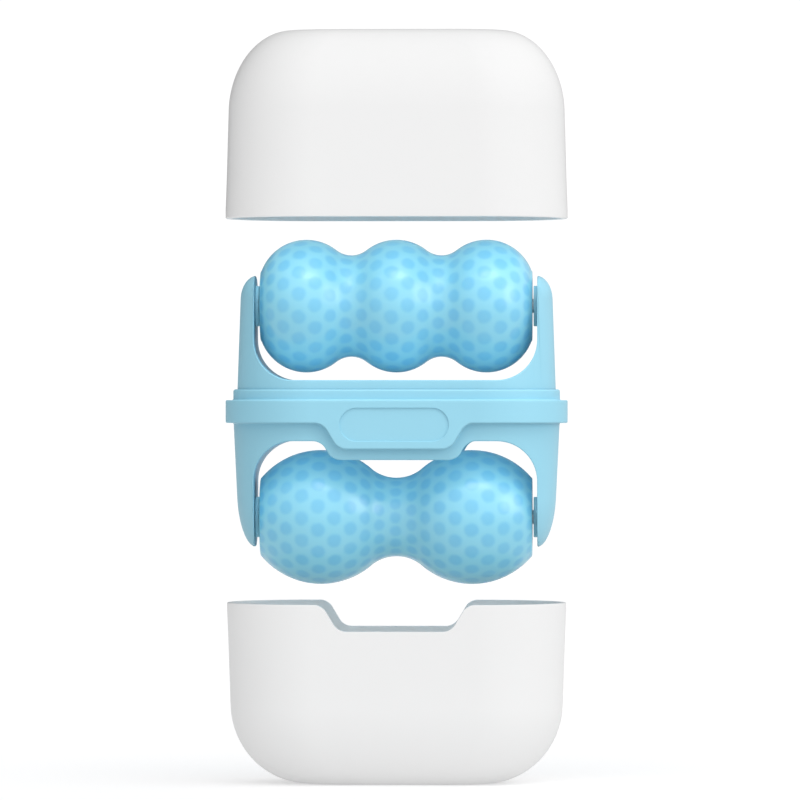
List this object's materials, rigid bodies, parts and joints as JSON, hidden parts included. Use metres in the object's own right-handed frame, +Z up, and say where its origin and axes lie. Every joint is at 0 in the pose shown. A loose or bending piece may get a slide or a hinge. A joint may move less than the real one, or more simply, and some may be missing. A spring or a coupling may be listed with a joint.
{
  "type": "foot massage roller",
  "caption": "Foot massage roller: a forked frame with a triple-ball roller and a peanut roller, closed by two deep push-on caps, shown pulled apart.",
  "frame": {"origin": "centre of the flat underside of the lower cap, on the surface it stands on", "axes": "+X along both rollers, -Y the front with the blank recess, +Z up through lower cap, frame and upper cap"},
  "size_m": [0.12, 0.062, 0.2641],
  "materials": {
    "cap_white": "satin white moulded plastic",
    "frame_blue": "pale blue moulded plastic, satin",
    "roller_gel": "pale blue translucent soft skin with rows of darker dots, glossy",
    "natural_plastic": "uncoloured moulded plastic",
    "bright_steel": "bright steel"
  },
  "bodies": {
    "case_base": {"lower_cap": "cap_white"},
    "frame": {"main_frame": "frame_blue", "upper_fork": "frame_blue", "deck_screw_1": "bright_steel", "deck_screw_2": "bright_steel", "deck_screw_3": "bright_steel", "deck_screw_4": "bright_steel", "upper_axle": "bright_steel", "upper_left_spacer": "frame_blue", "upper_right_spacer": "frame_blue", "lower_axle": "bright_steel", "lower_left_spacer": "frame_blue", "lower_right_spacer": "frame_blue"},
    "upper_roller": {"upper_roller_skin": "roller_gel", "upper_roller_core": "natural_plastic", "upper_left_bush": "natural_plastic", "upper_right_bush": "natural_plastic"},
    "lower_roller": {"lower_roller_skin": "roller_gel", "lower_roller_core": "natural_plastic", "lower_left_bush": "natural_plastic", "lower_right_bush": "natural_plastic"},
    "case_lid": {"upper_cap": "cap_white"}
  },
  "joints": [
    {"name": "lower_cap_pull", "type": "slide", "parent": "case_base", "child": "frame", "axis": [0, 0, 1], "range_m": [-0.0626, 0]},
    {"name": "upper_cap_pull", "type": "slide", "parent": "frame", "child": "case_lid", "axis": [0, 0, 1], "range_m": [-0.0633, 0]},
    {"name": "upper_roller_spin", "type": "hinge", "parent": "frame", "child": "upper_roller", "pos_m": [0, 0, 0.1674], "axis": [1, 0, 0], "continuous": true},
    {"name": "lower_roller_spin", "type": "hinge", "parent": "frame", "child": "lower_roller", "pos_m": [0, 0, 0.0934], "axis": [1, 0, 0], "continuous": true}
  ]
}
